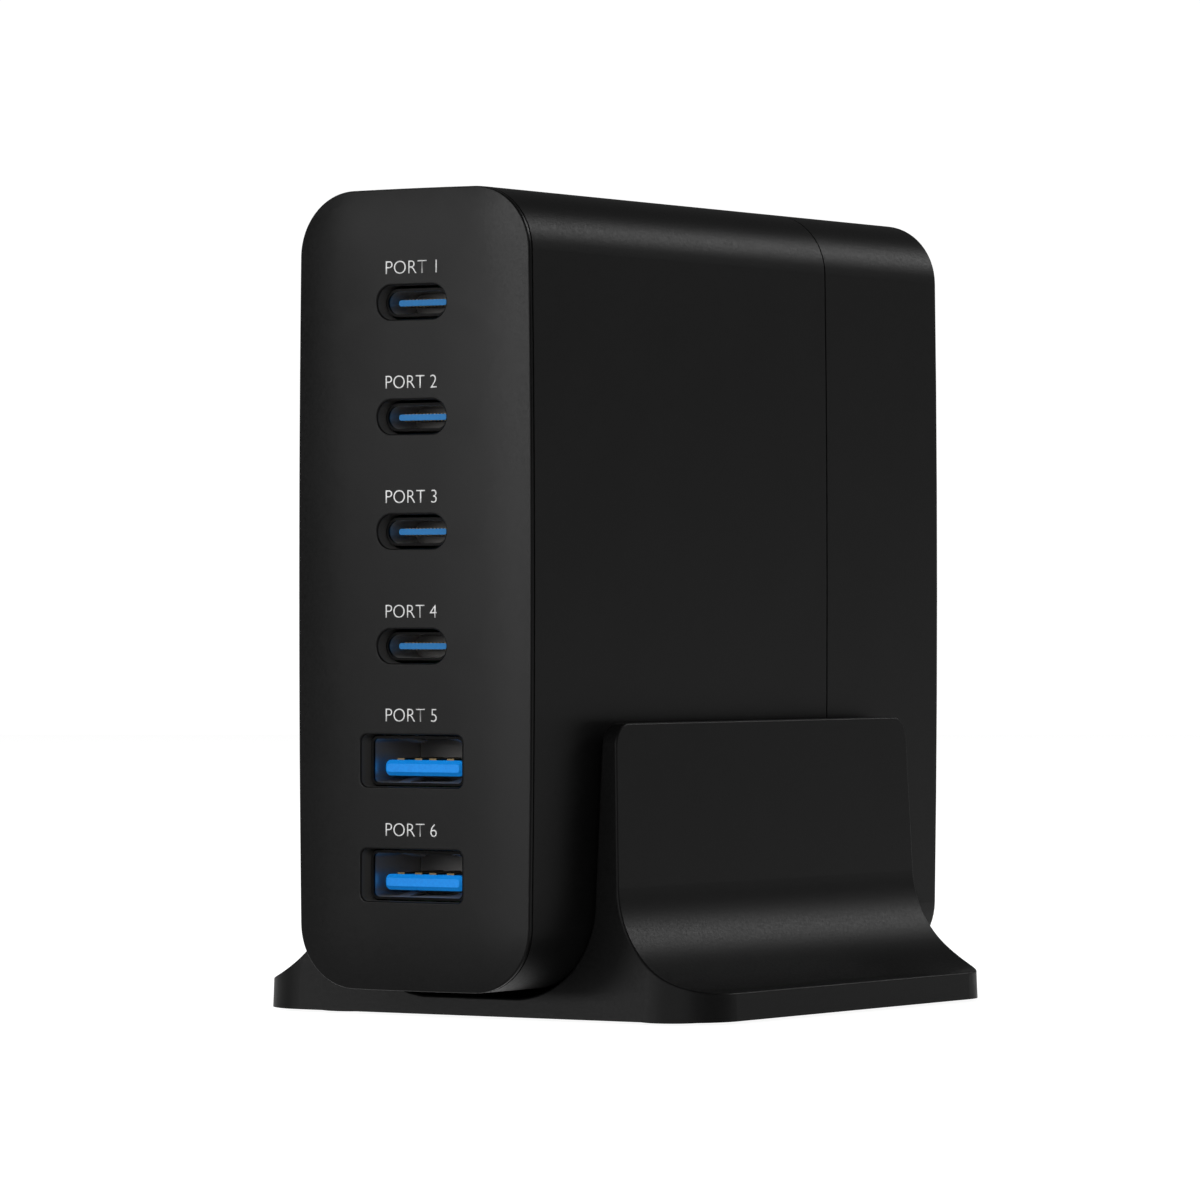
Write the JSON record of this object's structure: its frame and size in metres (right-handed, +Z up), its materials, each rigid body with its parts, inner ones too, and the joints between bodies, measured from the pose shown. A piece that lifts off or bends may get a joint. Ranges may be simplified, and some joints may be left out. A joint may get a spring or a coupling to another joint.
{
  "type": "multi port usb desktop charger",
  "caption": "Slim upright desktop charger with a column of USB ports on its narrow front, resting in a U-shaped cradle stand with a flared base.",
  "frame": {"origin": "on the desk, under the middle of the part's box", "axes": "+Z up, ports face -Y, mains inlet faces +Y, +X to the right seen from the ports"},
  "size_m": [0.0646, 0.0941, 0.0973],
  "materials": {
    "stand_black": "fine matte texture",
    "housing_black": "fine matte texture",
    "panel_black": "fine matte texture",
    "port_metal": "dark plated sheet",
    "port_blue": "moulded",
    "contact_gold": "gold plated",
    "foot_rubber": "matte",
    "inlet_black": "moulded",
    "pin_metal": "nickel plated",
    "wire_brown": "smooth insulation",
    "board_green": "solder mask",
    "spreader_metal": "rolled sheet",
    "gap_pad_grey": "soft",
    "ferrite": "ground",
    "winding_copper": "enamelled wire",
    "capacitor_sleeve": "shrink sleeve",
    "capacitor_metal": "drawn can",
    "chip_black": "moulded",
    "filter_yellow": "moulded",
    "fuse_white": "glazed tube",
    "varistor_blue": "dipped coating"
  },
  "bodies": {
    "root": {"boost_choke_core": "ferrite", "boost_choke_winding": "winding_copper", "bridge_rectifier": "chip_black", "bulk_capacitor_1": "capacitor_sleeve", "bulk_capacitor_2": "capacitor_sleeve", "filter_capacitor": "filter_yellow", "foot_pad_1": "foot_rubber", "foot_pad_2": "foot_rubber", "foot_pad_3": "foot_rubber", "foot_pad_4": "foot_rubber", "front_panel": "panel_black", "fuse": "fuse_white", "heat_spreader_left": "spreader_metal", "heat_spreader_right": "spreader_metal", "inlet_pins": "pin_metal", "inlet_socket": "inlet_black", "inlet_wires": "wire_brown", "line_choke_core": "ferrite", "line_choke_winding": "winding_copper", "main_board": "board_green", "main_shell": "housing_black", "output_capacitors": "capacitor_metal", "output_inductor_1": "chip_black", "output_inductor_2": "chip_black", "output_inductor_3": "chip_black", "output_inductor_4": "chip_black", "output_inductor_5": "chip_black", "port_board": "board_green", "rear_cover": "housing_black", "stand_cradle": "stand_black", "thermal_pad_left": "gap_pad_grey", "thermal_pad_right": "gap_pad_grey", "transformer_core": "ferrite", "transformer_winding": "winding_copper", "usb_a_contacts_1": "contact_gold", "usb_a_contacts_2": "contact_gold", "usb_a_insulator_1": "port_blue", "usb_a_insulator_2": "port_blue", "usb_a_shell_1": "port_metal", "usb_a_shell_2": "port_metal", "usb_c_contacts_1": "contact_gold", "usb_c_contacts_2": "contact_gold", "usb_c_contacts_3": "contact_gold", "usb_c_contacts_4": "contact_gold", "usb_c_insulator_1": "port_blue", "usb_c_insulator_2": "port_blue", "usb_c_insulator_3": "port_blue", "usb_c_insulator_4": "port_blue", "usb_c_shell_1": "port_metal", "usb_c_shell_2": "port_metal", "usb_c_shell_3": "port_metal", "usb_c_shell_4": "port_metal", "varistor": "varistor_blue"}
  },
  "joints": []
}
